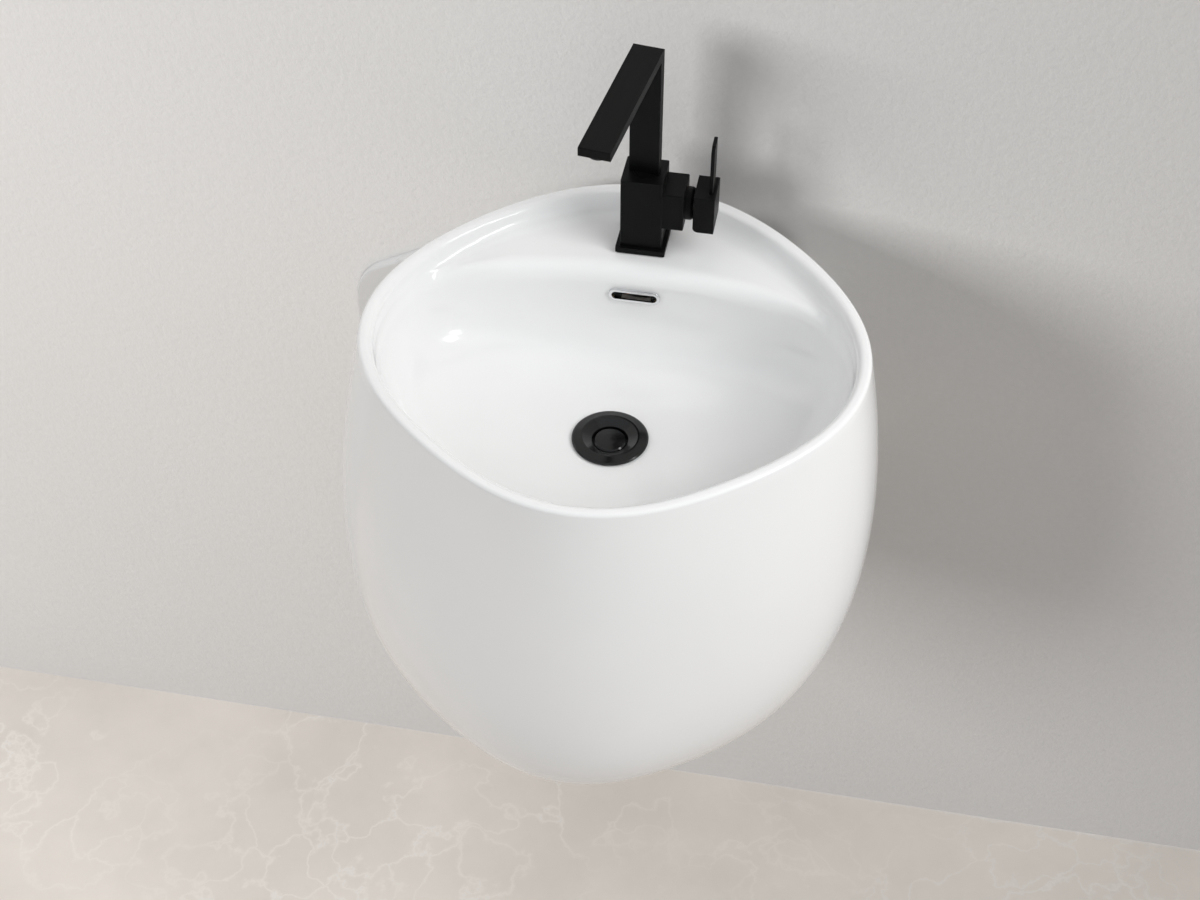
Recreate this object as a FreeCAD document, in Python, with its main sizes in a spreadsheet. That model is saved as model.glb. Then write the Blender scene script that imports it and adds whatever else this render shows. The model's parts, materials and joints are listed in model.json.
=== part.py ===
import FreeCAD, Part
import math
import os
import Sketcher
from FreeCAD import Placement, Rotation, Vector

# Wall hung basin with a deck tap, a click waste and a bottle trap.
# Frame: X across the wall, +Y into the wall, +Z up. The wall plane is Y = 0 and
# the origin lies midway between the two wall bolt holes.

doc = FreeCAD.newDocument("WallHungBasin")
sheet = doc.addObject("Spreadsheet::Sheet", "Sizes")

SIZES = [
    # basin body, millimetres
    ("rim_level", 100.0),        # top of the rim above the wall bolts
    ("rim_mean", 199.0),         # mean radius of the rim outline about the drain
    ("rim_forward", 17.5),       # how much less the outline reaches forward than back
    ("rim_oval", 2.3),           # widening of the outline to the sides
    ("rim_corner", 5.7),         # squareness of the outline, corners left, right, front and back
    ("rim_wall", 12.0),          # width of the rim
    ("rim_round", 5.2),          # rounding of both rim edges
    ("shell_height", 305.0),     # rim to underside
    ("belly_swell", 0.33),       # swelling of the egg below the rim
    ("belly_power", 4.5),        # how late the egg closes underneath
    ("belly_lean", 34.0),        # forward lean of the sections, first part
    ("belly_tuck", 63.0),        # forward lean of the sections, second part
    ("belly_oval", 5.8),         # widening of the lower sections to the sides
    ("shell_wall", 11.0),
    ("rim_gap", 13.1),           # wall to the back of the rim
    ("bowl_depth", 104.0),       # rim to the drain seat
    ("bowl_power", 4.0),
    ("bowl_round", 3.4),
    ("bowl_draft", 0.04),
    ("bowl_wall", 11.0),
    ("deck_drop", 18.0),         # rim to the tap deck
    ("deck_rise", 0.6),          # fall of the deck towards the bowl
    ("deck_reach", 115.0),       # wall to the front edge of the deck
    ("deck_curve", 0.00085),     # bow of the deck edge
    ("deck_foot", 25.0),         # how far the wall below the deck leans forward
    ("deck_back", 40.0),         # wall to the foot of the upstand behind the deck
    ("deck_wall", 12.0),
    ("drain_hole", 22.5),
    ("boss_rad", 33.0),
    ("boss_drop", 45.0),         # drain seat to the underside of the boss
    ("tap_hole", 17.5),
    ("tap_seat", 29.0),          # flat round seat of the tap
    ("tap_reach", 71.0),         # wall to the tap axis
    ("overflow_drop", 43.3),     # rim to the middle of the overflow
    ("overflow_wide", 41.4),
    ("overflow_high", 9.4),
    ("channel_gap", 8.0),
    ("channel_wide", 26.0),
    ("channel_wall", 5.0),
    # shroud that joins the egg to the wall
    ("shroud_half", 126.0),
    ("shroud_top", 62.0),
    ("shroud_foot", 165.0),
    ("shroud_wall", 11.0),
    ("web_thick", 14.0),
    ("web_foot", 36.0),
    # back plate
    ("plate_thick", 10.0),
    ("plate_left", 292.0),
    ("plate_right", 175.0),
    ("plate_foot", 205.0),
    ("plate_crest", 66.0),
    ("plate_crest_half", 70.0),
    ("plate_shoulder", 50.0),    # left shoulder below the bolts
    ("plate_shoulder_right", 14.0),
    ("plate_round", 45.0),
    ("access_half", 104.0),
    ("access_foot", 185.0),
    ("bolt_span", 200.0),
    ("bolt_rad", 5.5),
    ("bush_wall", 2.5),
    ("bush_collar", 14.0),
    ("bush_collar_thick", 4.0),
    # fits
    ("face_gap", 0.2),
    ("run_gap", 0.05),
    # tap
    ("tap_seal_thick", 1.5),
    ("tap_plate_side", 43.0),
    ("tap_plate_thick", 5.0),
    ("tap_side", 36.0),
    ("tap_height", 68.0),
    ("housing_long", 18.0),
    ("housing_deep", 34.0),
    ("housing_high", 36.0),
    ("housing_drop", 28.5),      # tap body top to the cartridge axis
    ("cart_rad", 14.4),
    ("cart_long", 28.0),
    ("cart_nut_long", 8.0),
    ("neck_rad", 14.2),
    ("neck_long", 7.0),
    ("neck_bore", 12.0),
    ("rotor_rad", 10.0),
    ("rotor_long", 9.0),
    ("stem_side", 8.0),
    ("handle_gap", 8.0),         # housing end to the handle block
    ("handle_long", 18.0),
    ("handle_deep", 34.0),
    ("handle_high", 36.0),
    ("handle_round", 4.5),
    ("lever_thick", 3.0),
    ("lever_deep", 18.0),
    ("lever_high", 46.0),
    ("lever_cut", 5.0),          # slanted cut at the front of the lever's tip
    ("lever_inset", 3.0),        # lever to the outer face of the handle block
    ("spigot_rad", 10.0),
    ("spigot_long", 12.0),
    ("seal_drop", 8.5),          # foot of the spout to the underside of its seal
    ("seal_high", 3.0),
    ("seal_deep", 1.6),
    ("spout_wide", 26.0),
    ("spout_thick", 8.0),
    ("spout_rise", 119.0),
    ("spout_reach", 134.0),
    ("spout_fall", 8.0),
    ("spout_turn", 8.0),        # rest direction of the spout, degrees to the left
    ("aerator_rad", 8.5),
    ("shank_rad", 15.5),
    ("shank_bore", 12.5),
    ("shank_long", 42.0),
    ("tail_rad", 5.0),
    ("tail_span", 13.0),
    ("tail_long", 125.0),
    ("tail_wall", 0.9),
    ("tail_splay", 56.0),
    ("tail_bend", 22.0),
    ("nut_rad", 22.0),
    # waste
    ("flange_rad", 32.4),
    ("flange_seal", 1.5),
    ("waste_rad", 19.5),
    ("waste_bore", 17.0),
    ("waste_mouth", 15.5),
    ("waste_seat", 13.0),
    ("waste_long", 70.0),
    ("plug_rad", 13.8),
    ("plug_lift", 9.0),
    # trap
    ("pipe_rad", 16.0),
    ("pipe_wall", 1.8),
    ("pipe_entry", 25.0),        # stop bead to the end of the outlet pipe
    ("trap_rad", 30.0),
    ("trap_wall", 2.5),
    ("trap_level", 126.0),       # wall bolts to the trap outlet axis
    ("trap_cup_high", 38.0),
]

for row, (alias, size) in enumerate(SIZES, start=1):
    sheet.set("A%d" % row, alias)
    sheet.set("B%d" % row, repr(size))
    sheet.setAlias("B%d" % row, alias)
# The drain axis lies one rear rim radius in front of the rim's back, so it follows the outline.
row += 1
sheet.set("A%d" % row, "drain_reach")
sheet.set("B%d" % row, "=rim_gap + rim_mean + rim_forward + (rim_corner - rim_oval)")
sheet.setAlias("B%d" % row, "drain_reach")
doc.recompute()


class Term:
    """A number together with the sheet formula that gives it."""

    def __init__(self, value, text):
        self.value, self.text = float(value), text

    def join(self, other, sign, back=False):
        if not isinstance(other, Term):
            other = Term(other, repr(float(other)))
        a, b = (other, self) if back else (self, other)
        value = {"+": lambda: a.value + b.value, "-": lambda: a.value - b.value,
                 "*": lambda: a.value * b.value, "/": lambda: a.value / b.value}[sign]()
        return Term(value, "(%s %s %s)" % (a.text, sign, b.text))

    def __add__(self, other): return self.join(other, "+")
    def __radd__(self, other): return self.join(other, "+", True)
    def __sub__(self, other): return self.join(other, "-")
    def __rsub__(self, other): return self.join(other, "-", True)
    def __mul__(self, other): return self.join(other, "*")
    def __rmul__(self, other): return self.join(other, "*", True)
    def __truediv__(self, other): return self.join(other, "/")
    def __neg__(self): return self.join(-1.0, "*")


class Sheet:
    def __getattr__(self, alias):
        return Term(sheet.get(alias), "Sizes." + alias)


S = Sheet()
ZERO = Term(0, "0")


def term(value):
    return value if isinstance(value, Term) else Term(value, repr(float(value)))


def bind(obj, prop, value):
    obj.setExpression(prop, term(value).text)


def place(obj, x=0, y=0, z=0, axis=None, angle=0):
    if axis is not None:
        obj.Placement = Placement(Vector(0, 0, 0), Rotation(Vector(*axis), angle))
    for key, value in zip("xyz", (x, y, z)):
        bind(obj, "Placement.Base." + key, value)


def body(label):
    made = doc.addObject("PartDesign::Body", label)
    made.Label = label
    return made


def sketch_on(owner, plane, name):
    made = owner.newObject("Sketcher::SketchObject", name)
    origin = [f for f in owner.Origin.OriginFeatures if f.Role == plane][0]
    made.AttachmentSupport = [(origin, "")]
    made.MapMode = "FlatFace"
    return made


def outline(sketch, points):
    points = [(term(a), term(b)) for a, b in points]
    first = sketch.GeometryCount
    n = len(points)
    for i in range(n):
        a, b = points[i], points[(i + 1) % n]
        sketch.addGeometry(Part.LineSegment(Vector(a[0].value, a[1].value, 0),
                                            Vector(b[0].value, b[1].value, 0)), False)
    for i in range(n):
        sketch.addConstraint(Sketcher.Constraint("Coincident", first + i, 2, first + (i + 1) % n, 1))
    for i, point in enumerate(points):
        for kind, value in zip(("DistanceX", "DistanceY"), point):
            at = sketch.addConstraint(Sketcher.Constraint(kind, -1, 1, first + i, 1, value.value))
            sketch.setExpression("Constraints[%d]" % at, value.text)


def circle(sketch, x, y, radius):
    x, y, radius = term(x), term(y), term(radius)
    geo = sketch.addGeometry(Part.Circle(Vector(x.value, y.value, 0), Vector(0, 0, 1), radius.value), False)
    for kind, value in (("DistanceX", x), ("DistanceY", y)):
        at = sketch.addConstraint(Sketcher.Constraint(kind, -1, 1, geo, 3, value.value))
        sketch.setExpression("Constraints[%d]" % at, value.text)
    at = sketch.addConstraint(Sketcher.Constraint("Radius", geo, radius.value))
    sketch.setExpression("Constraints[%d]" % at, radius.text)


def turned(label, points, cut=False, owner=None):
    """Revolve a closed half section (radius, height) about the upright axis."""
    owner = owner or body(label)
    sketch = sketch_on(owner, "XZ_Plane", label + "_section")
    outline(sketch, points)
    made = owner.newObject("PartDesign::Groove" if cut else "PartDesign::Revolution", label + "_turn")
    made.Profile = sketch
    made.ReferenceAxis = (sketch, ["V_Axis"])
    made.Angle = 360
    sketch.Visibility = False
    return owner


def ring(label, outer, inner, low, high):
    return turned(label, [(inner, low), (outer, low), (outer, high), (inner, high)])


def padded(label, plane, long, points=None, circles=(), owner=None, cut=False, both=False, back=False):
    """Pad or pocket a closed outline, with round holes in it, along its plane's normal."""
    owner = owner or body(label)
    sketch = sketch_on(owner, plane, label + ("_cut" if cut else "_outline"))
    if points:
        outline(sketch, points)
    for x, y, radius in circles:
        circle(sketch, x, y, radius)
    made = owner.newObject("PartDesign::Pocket" if cut else "PartDesign::Pad", label + ("_pocket" if cut else "_pad"))
    made.Profile = sketch
    bind(made, "Length", long)
    if both:
        made.SideType = "Symmetric"
    made.Reversed = back
    sketch.Visibility = False
    return owner


def rectangle(x0, x1, y0, y1):
    return [(x0, y0), (x1, y0), (x1, y1), (x0, y1)]


def soften(owner, radius, pick, kind="Fillet"):
    """Round or chamfer the edges of the body's tip that the test picks."""
    doc.recompute()
    tip = owner.Tip
    names = ["Edge%d" % (i + 1) for i, edge in enumerate(tip.Shape.Edges) if pick(edge)]
    made = owner.newObject("PartDesign::" + kind, owner.Label + "_" + kind.lower() + str(len(owner.Group)))
    made.Base = (tip, names)
    bind(made, "Radius" if kind == "Fillet" else "Size", radius)
    doc.recompute()
    return made


def along(axis, edge, length=None):
    if len(edge.Vertexes) != 2:
        return False
    step = edge.Vertexes[1].Point - edge.Vertexes[0].Point
    if step.Length < 1e-6 or abs(abs(step[axis]) - step.Length) > 1e-6:
        return False
    return length is None or abs(step.Length - length) < 0.01


def feature(label, shape):
    made = doc.addObject("Part::Feature", label)
    made.Label = label
    made.Shape = shape
    return made


# ---------------------------------------------------------------- basin body
# Every level of the basin is one closed curve about the drain axis. phi runs
# from the front, radius(phi) is the rim outline, and inner and outer levels
# scale, lean and trim it.
STEPS = 48
PHI = [2 * math.pi * i / STEPS for i in range(STEPS)]
G = {name: float(sheet.get(name)) for name in [name for name, size in SIZES] + ["drain_reach"]}
SEAT = G["rim_level"] - G["bowl_depth"]
DECK = G["rim_level"] - G["deck_drop"]
FLOOR = G["rim_level"] - G["shell_height"]


def radius(phi):
    return (G["rim_mean"] - G["rim_forward"] * math.cos(phi) - G["rim_oval"] * math.cos(2 * phi)
            + G["rim_corner"] * math.cos(4 * phi))


def level(radii, z, lean=0.0):
    points = [Vector(r * math.sin(p), -G["drain_reach"] - lean - r * math.cos(p), z)
              for r, p in zip(radii, PHI)]
    curve = Part.BSplineCurve()
    curve.interpolate(Points=points, PeriodicFlag=True)
    return Part.Wire([curve.toShape()])


def egg_level(part, inset=0.0):
    swell = (1 + G["belly_swell"] * part * (1 - part)) * (1 - part ** G["belly_power"]) ** (1 / G["belly_power"])
    lean = G["belly_lean"] * part + G["belly_tuck"] * part * part
    return level([(radius(p) - G["belly_oval"] * part * math.cos(2 * p)) * swell - inset for p in PHI],
                 G["rim_level"] - G["shell_height"] * part, lean)


def egg(inset, parts):
    return Part.makeLoft([egg_level(part, inset) for part in parts], True, False)


def bowl_scale(z):
    part = min(max((G["rim_level"] - z) / G["bowl_depth"], 0.0), 1.0)
    return (1 - G["bowl_draft"] * part) * max(1 - part ** G["bowl_power"], 0.0) ** (1 / G["bowl_round"])


def back_reach(phi, z):
    """Distance from the drain axis to the bowed wall under the deck edge."""
    part = min(max((z - SEAT) / (DECK - SEAT), 0.0), 1.0)
    reach = G["drain_reach"] - G["deck_reach"] - G["deck_foot"] * (1 - part) ** 4
    c, k = -math.cos(phi), G["deck_curve"] * math.sin(phi) ** 2
    return 2 * reach / max(c + math.sqrt(c * c + 4 * k * reach), 1e-3)


def bowl_radii(z, grow=0.0):
    radii = []
    for phi in PHI:
        side = max((radius(phi) - G["rim_wall"]) * bowl_scale(z), 24.0)
        back = max(back_reach(phi, z), 24.0)
        radii.append((side ** -9 + back ** -9) ** (-1 / 9) + grow)
    return radii


def lower_bowl(grow=0.0):
    levels = [SEAT + (DECK - SEAT) * part for part in (0, 0.02, 0.06, 0.13, 0.24, 0.4, 0.6, 0.8, 1)]
    drop = (1, 0.8, 0.55, 0.3, 0, 0, 0, 0, 0)
    wires = [level(bowl_radii(z, grow), z - grow * low) for z, low in zip(levels, drop)]
    return Part.makeLoft(wires, True, False)


def upper_radii(z, grow=0.0):
    """Recess over the deck: the rim's inner outline, with the upstand leaning back to the rim."""
    part = min(max((z - DECK) / (G["rim_level"] - DECK), 0.0), 1.0)
    lean = (G["deck_back"] - (G["drain_reach"] - radius(math.pi)) - G["rim_wall"]) * (1 - part) ** 1.5
    return [(radius(p) - G["rim_wall"]) * bowl_scale(z) - lean * max(-math.cos(p), 0.0) ** 3 + grow for p in PHI]


def upper_bowl():
    """Space over the deck, with the deck itself as its nearly level lower face."""
    low = DECK + G["deck_rise"]
    deck_face = Part.makeLoft([level(bowl_radii(DECK), DECK), level(upper_radii(low), low)], True, True)
    wires = [level(upper_radii(z), z) for z in (low, (low + G["rim_level"]) / 2, G["rim_level"])]
    return deck_face.fuse(Part.makeLoft(wires, True, False))


def box(x0, x1, y0, y1, z0, z1):
    return Part.makeBox(x1 - x0, y1 - y0, z1 - z0, Vector(x0, y0, z0))


def rod(rad, x, y, z, long, axis=Vector(0, 0, 1)):
    return Part.makeCylinder(rad, long, Vector(x, y, z), axis)


plate, web = G["plate_thick"], G["plate_thick"] + G["web_thick"]
half, wall = G["shroud_half"], G["shroud_wall"]
drain_y, tap_y = -G["drain_reach"], -G["tap_reach"]

outer = egg(0, (0, 0.06, 0.15, 0.28, 0.42, 0.56, 0.68, 0.78, 0.86, 0.92, 0.96, 0.985, 0.997))
inner = egg(G["shell_wall"], (0.03, 0.15, 0.28, 0.42, 0.56, 0.68, 0.78, 0.86, 0.915, 0.95, 0.965))

shroud = box(-half, half, drain_y + 60, -plate, -G["shroud_foot"], G["shroud_top"])
shroud = shroud.makeFillet(30, [e for e in shroud.Edges if abs(e.CenterOfMass.z - G["shroud_top"]) < 1e-6
                                and abs(abs(e.CenterOfMass.x) - half) < 1e-6])
hollow = box(-half + wall, half - wall, drain_y + 70, -web, -G["shroud_foot"] - 1, G["shroud_top"] - wall)
gate = box(-G["access_half"], G["access_half"], drain_y + 70, 1, -G["access_foot"], -G["web_foot"])

# The overflow channel runs down behind the lower bowl and forward under its
# floor into the drain boss.
reach_back = -G["deck_reach"] + 6
channel_y = (reach_back, reach_back + G["channel_gap"])
channel_half = G["channel_wide"] / 2
leg_top = G["rim_level"] - G["overflow_drop"] + G["overflow_high"] / 2
leg_low = SEAT - G["bowl_wall"] - 8 - G["channel_gap"]
cw = G["channel_wall"]
channel_solid = box(-channel_half - cw, channel_half + cw, -G["deck_reach"] - 4, channel_y[1] + cw,
                    leg_low - cw, leg_top + cw + 4)
channel_solid = channel_solid.fuse(box(-channel_half - cw, channel_half + cw, drain_y, channel_y[1] + cw,
                                       leg_low - cw, SEAT - 2))
channel_void = box(-channel_half, channel_half, channel_y[0], channel_y[1], leg_low, leg_top + 2)
channel_void = channel_void.fuse(box(-channel_half, channel_half, drain_y + 10, channel_y[1],
                                     leg_low, leg_low + G["channel_gap"]))
boss = rod(G["boss_rad"], 0, drain_y, SEAT - G["boss_drop"], G["boss_drop"] - 1)

thick = lower_bowl(G["bowl_wall"]).fuse(channel_solid).fuse(boss)
deck_slab = Part.Face(level([r + 3 * G["bowl_wall"] for r in upper_radii(DECK)], DECK - G["deck_wall"]))
deck_slab = deck_slab.extrude(Vector(0, 0, G["rim_level"] - DECK + G["deck_wall"] + 5))
cavity = inner.fuse(hollow).cut(deck_slab).cut(thick).fuse(gate.cut(thick))

slot_z = G["rim_level"] - G["overflow_drop"]
slot = box(-(G["overflow_wide"] - G["overflow_high"]) / 2, (G["overflow_wide"] - G["overflow_high"]) / 2,
           -G["deck_reach"] - 30, channel_y[0] + 1, slot_z - G["overflow_high"] / 2, slot_z + G["overflow_high"] / 2)
for side in (-1, 1):
    slot = slot.fuse(rod(G["overflow_high"] / 2, side * (G["overflow_wide"] - G["overflow_high"]) / 2,
                         -G["deck_reach"] - 30, slot_z, 31 + channel_y[0] + G["deck_reach"], Vector(0, 1, 0)))

bowl_void = lower_bowl(0).fuse(rod(G["drain_hole"], 0, drain_y, SEAT - 60, 65))
basin = outer.fuse(shroud).cut(cavity).cut(upper_bowl()).cut(bowl_void)
basin = basin.cut(rod(G["tap_hole"], 0, tap_y, DECK - 30, 60).fuse(rod(G["tap_seat"], 0, tap_y, DECK, 5)))
bush_rad = G["bolt_rad"] + G["bush_wall"]
for side in (-1, 1):
    basin = basin.cut(rod(bush_rad + G["face_gap"] / 4, side * G["bolt_span"] / 2, -web - 5, 0,
                          web + 10, Vector(0, 1, 0)))
basin = basin.cut(channel_void).cut(slot).Solids[0]


def rim_edge(edge):
    """One of the two closed curves round the top of the rim."""
    box_of = edge.BoundBox
    return box_of.ZMin > G["rim_level"] - 1e-3 and box_of.XLength > G["rim_mean"]


basin = basin.makeFillet(G["rim_round"], [e for e in basin.Edges if rim_edge(e)])
feature("basin_body", basin)


# ---------------------------------------------------------------- wall fixing
left, right = S.plate_left, S.plate_right
back_plate = padded("back_plate", "XZ_Plane", S.plate_thick, [
    (-left, -S.plate_foot), (right, -S.plate_foot), (right, -S.plate_shoulder_right),
    (S.plate_crest_half, S.plate_crest), (-S.plate_crest_half, S.plate_crest), (-left, -S.plate_shoulder)])
soften(back_plate, S.plate_round, lambda e: along(1, e, S.plate_thick.value)
       and e.Vertexes[0].Z < G["plate_crest"] - 1 and e.Vertexes[0].Z > -G["plate_foot"] + 1)
soften(back_plate, S.plate_round * 0.6, lambda e: along(1, e, S.plate_thick.value)
       and (abs(e.Vertexes[0].Z - G["plate_crest"]) < 1e-3 or abs(e.Vertexes[0].Z + G["plate_foot"]) < 1e-3))
padded("back_plate", "XZ_Plane", S.plate_thick,
       rectangle(-S.access_half, S.access_half, -S.access_foot, -S.web_foot),
       [(-S.bolt_span / 2, 0, S.bolt_rad), (S.bolt_span / 2, 0, S.bolt_rad)],
       owner=back_plate, cut=True, back=True)
soften(back_plate, S.plate_thick * 0.25, lambda e: abs(e.BoundBox.YMin + G["plate_thick"]) < 1e-3
       and e.BoundBox.YLength < 1e-3 and (e.BoundBox.XMin < -G["access_half"] - 1 or e.BoundBox.XMax > G["access_half"] + 1
       or e.BoundBox.ZMin > 20))

web_face = S.plate_thick + S.web_thick
for name in ("wall_bolt_bush_left", "wall_bolt_bush_right"):
    bush = turned(name, [
        (S.bolt_rad, ZERO), (S.bolt_rad + S.bush_wall, ZERO), (S.bolt_rad + S.bush_wall, S.web_thick),
        (S.bush_collar, S.web_thick), (S.bush_collar, S.web_thick + S.bush_collar_thick),
        (S.bolt_rad, S.web_thick + S.bush_collar_thick)])
    place(bush, S.bolt_span / (-2 if "left" in name else 2), -S.plate_thick, 0, (1, 0, 0), 90)

# ---------------------------------------------------------------- tap
deck = S.rim_level - S.deck_drop
tap_foot = deck + S.tap_seal_thick
tap_low = tap_foot + S.tap_plate_thick
tap_top = tap_low + S.tap_height
cart_z = tap_top - S.housing_drop
side = S.tap_side / 2
housing_end = side + S.housing_long


def square_ring(label, width, thick, bore, low):
    made = padded(label, "XY_Plane", thick, rectangle(-width / 2, width / 2, -width / 2, width / 2), [(0, 0, bore)])
    place(made, 0, -S.tap_reach, low)
    return made


square_ring("tap_base_seal", S.tap_plate_side - 3, S.tap_seal_thick, S.shank_rad + S.face_gap, deck)
base_plate = square_ring("tap_base_plate", S.tap_plate_side, S.tap_plate_thick, S.shank_rad + S.face_gap, tap_foot)
soften(base_plate, Term(1, "1"), lambda e: along(2, e))

tap_body = padded("tap_body", "XY_Plane", S.tap_height, rectangle(-side, side, -side, side))
padded("tap_housing", "YZ_Plane", side + S.housing_long, rectangle(
    -S.housing_deep / 2, S.housing_deep / 2, S.tap_height - S.housing_drop - S.housing_high / 2,
    S.tap_height - S.housing_drop + S.housing_high / 2), owner=tap_body)
soften(tap_body, Term(0.8, "0.8"), lambda e: along(2, e, G["tap_height"]) or along(0, e, G["housing_long"])
       or e.BoundBox.XMin > G["tap_side"] / 2 + G["housing_long"] - 1e-3, "Chamfer")
cart_depth = S.cart_long + S.cart_nut_long + 1
bore = sketch_on(tap_body, "YZ_Plane", "cartridge_bore")
circle(bore, 0, S.tap_height - S.housing_drop, S.cart_rad + S.run_gap)
bore.AttachmentOffset = Placement(Vector(0, 0, housing_end.value), Rotation())
bind(bore, "AttachmentOffset.Base.z", housing_end)
pocket = tap_body.newObject("PartDesign::Pocket", "cartridge_bore_pocket")
pocket.Profile = bore
bind(pocket, "Length", cart_depth)
doc.recompute()
turned("spigot_bore", [(ZERO, S.tap_height - S.spigot_long - 0.4), (S.spigot_rad + S.run_gap, S.tap_height - S.spigot_long - 0.4),
                       (S.spigot_rad + S.run_gap, S.tap_height + 1), (ZERO, S.tap_height + 1)], cut=True, owner=tap_body)
padded("tail_bores", "XY_Plane", Term(14, "14"), circles=[
    (-S.tail_span / 2, 0, S.tail_rad), (S.tail_span / 2, 0, S.tail_rad)], owner=tap_body, cut=True, back=True)
place(tap_body, 0, -S.tap_reach, tap_low)

# threaded shank, with its washers and nut under the deck
shank = ring("tap_shank", S.shank_rad, S.shank_bore, -S.shank_long, ZERO)
place(shank, 0, -S.tap_reach, tap_low)
under = deck - S.deck_wall
for name, thick, low in (("shank_rubber_washer", 2.5, 2.5), ("shank_metal_washer", 1.5, 4.0)):
    washer = ring(name, S.nut_rad, S.shank_rad + 0.4, ZERO, Term(thick, repr(thick)))
    place(washer, 0, -S.tap_reach, under - low)


def hexagon(across):
    """Corner points of a hexagon by its half width across the flats."""
    return [(across * (2 / math.sqrt(3)) * math.cos(math.pi / 3 * i), across * (2 / math.sqrt(3)) * math.sin(math.pi / 3 * i))
            for i in range(6)]


shank_nut = padded("shank_nut", "XY_Plane", Term(9, "9"), hexagon(S.nut_rad - 3), [(0, 0, S.shank_rad)])
place(shank_nut, 0, -S.tap_reach, under - 13)


def bent_tube(points, bend, outer, inner):
    """Tube along straight runs joined by arcs of one bend radius."""
    edges, start = [], points[0]
    for i in range(1, len(points) - 1):
        a, b, c = points[i - 1], points[i], points[i + 1]
        u, v = (a - b).normalize(), (c - b).normalize()
        turn = math.pi - u.getAngle(v)
        cut = bend * math.tan(turn / 2)
        p, q = b + u * cut, b + v * cut
        mid = b + (u + v).normalize() * (bend / math.cos(turn / 2) - bend)
        edges += [Part.LineSegment(start, p).toShape(), Part.Arc(p, mid, q).toShape()]
        start = q
    edges.append(Part.LineSegment(start, points[-1]).toShape())
    path = Part.Wire(edges)
    run = (points[1] - points[0]).normalize()
    solids = []
    for rad in (outer, inner):
        ring_at = Part.Wire([Part.makeCircle(rad, points[0], run)])
        solids.append(path.makePipeShell([ring_at], True, False))
    return solids[0].cut(solids[1])


# soft copper tails, splayed under the shank so that each takes its own coupling
tail_top = DECK + G["tap_seal_thick"] + G["tap_plate_thick"]
for name, turn in (("hot_inlet_tail", -1), ("cold_inlet_tail", 1)):
    near, far = turn * G["tail_span"] / 2, turn * G["tail_splay"] / 2
    stops = [(near, 12), (near, 12 - G["tail_long"] * 0.48), (far, 12 - G["tail_long"] * 0.8), (far, 12 - G["tail_long"])]
    feature(name, bent_tube([Vector(x, tap_y, tail_top + z) for x, z in stops], G["tail_bend"],
                            G["tail_rad"], G["tail_rad"] - G["tail_wall"]))

# cartridge on the X axis, from the middle of the body to the housing end
lever_z = cart_z
cart_start = housing_end - S.cart_nut_long - S.cart_long


def on_x(made, x, z=lever_z):
    place(made, x, -S.tap_reach, z, (0, 1, 0), 90)
    return made


on_x(turned("cartridge_body", [
    (ZERO, ZERO), (S.cart_rad, ZERO), (S.cart_rad, S.cart_long),
    (S.rotor_rad + S.run_gap, S.cart_long), (S.rotor_rad + S.run_gap, S.cart_long - S.rotor_long - S.face_gap),
    (ZERO, S.cart_long - S.rotor_long - S.face_gap)]), cart_start)
on_x(ring("cartridge_nut", S.cart_rad, S.rotor_rad + 0.6, S.cart_long, S.cart_long + S.cart_nut_long), cart_start)
neck = on_x(turned("handle_neck", [
    (S.neck_bore, ZERO), (S.neck_rad, ZERO), (S.neck_rad, S.neck_long - 2),
    (S.neck_rad - 1.2, S.neck_long), (S.neck_bore, S.neck_long)]), housing_end)

# the rotor turns in the cartridge and carries the stem on a cross pin
rotor = turned("cartridge_rotor", [(ZERO, -S.rotor_long / 2), (S.rotor_rad, -S.rotor_long / 2),
                                   (S.rotor_rad, S.rotor_long / 2), (ZERO, S.rotor_long / 2)])
doc.recompute()
padded("rotor_slot", "XY_Plane", S.rotor_long + 2, rectangle(
    -S.stem_side * 0.9, S.stem_side * 0.9, -S.stem_side / 2 - S.run_gap, S.stem_side / 2 + S.run_gap),
    owner=rotor, cut=True, both=True)
padded("rotor_pin_hole", "XZ_Plane", S.rotor_rad * 2, circles=[(0, 0, Term(1.5, "1.5"))], owner=rotor, cut=True, both=True)
rotor_x = housing_end - S.cart_nut_long - S.rotor_long / 2 - S.face_gap / 2
on_x(rotor, rotor_x)


def on_tap(made, x=ZERO, z=cart_z, y=-S.tap_reach):
    place(made, x, y, z)
    return made


pin = padded("rotor_cross_pin", "XZ_Plane", S.rotor_rad * 1.84, circles=[(0, 0, 1.5 - S.run_gap)], both=True)
on_tap(pin, rotor_x)

block_start = housing_end + S.handle_gap
pocket_long = S.neck_long
stem_end = block_start + S.handle_long - 5 - rotor_x
stem = padded("cartridge_stem", "XY_Plane", S.stem_side, rectangle(
    -S.rotor_long / 2 + 1.2, stem_end, -S.stem_side / 2, S.stem_side / 2), both=True)
doc.recompute()
padded("stem_pin_hole", "XZ_Plane", S.rotor_rad * 2, circles=[(0, 0, 1.5 + S.run_gap)], owner=stem, cut=True, both=True)
on_tap(stem, rotor_x)

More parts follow.
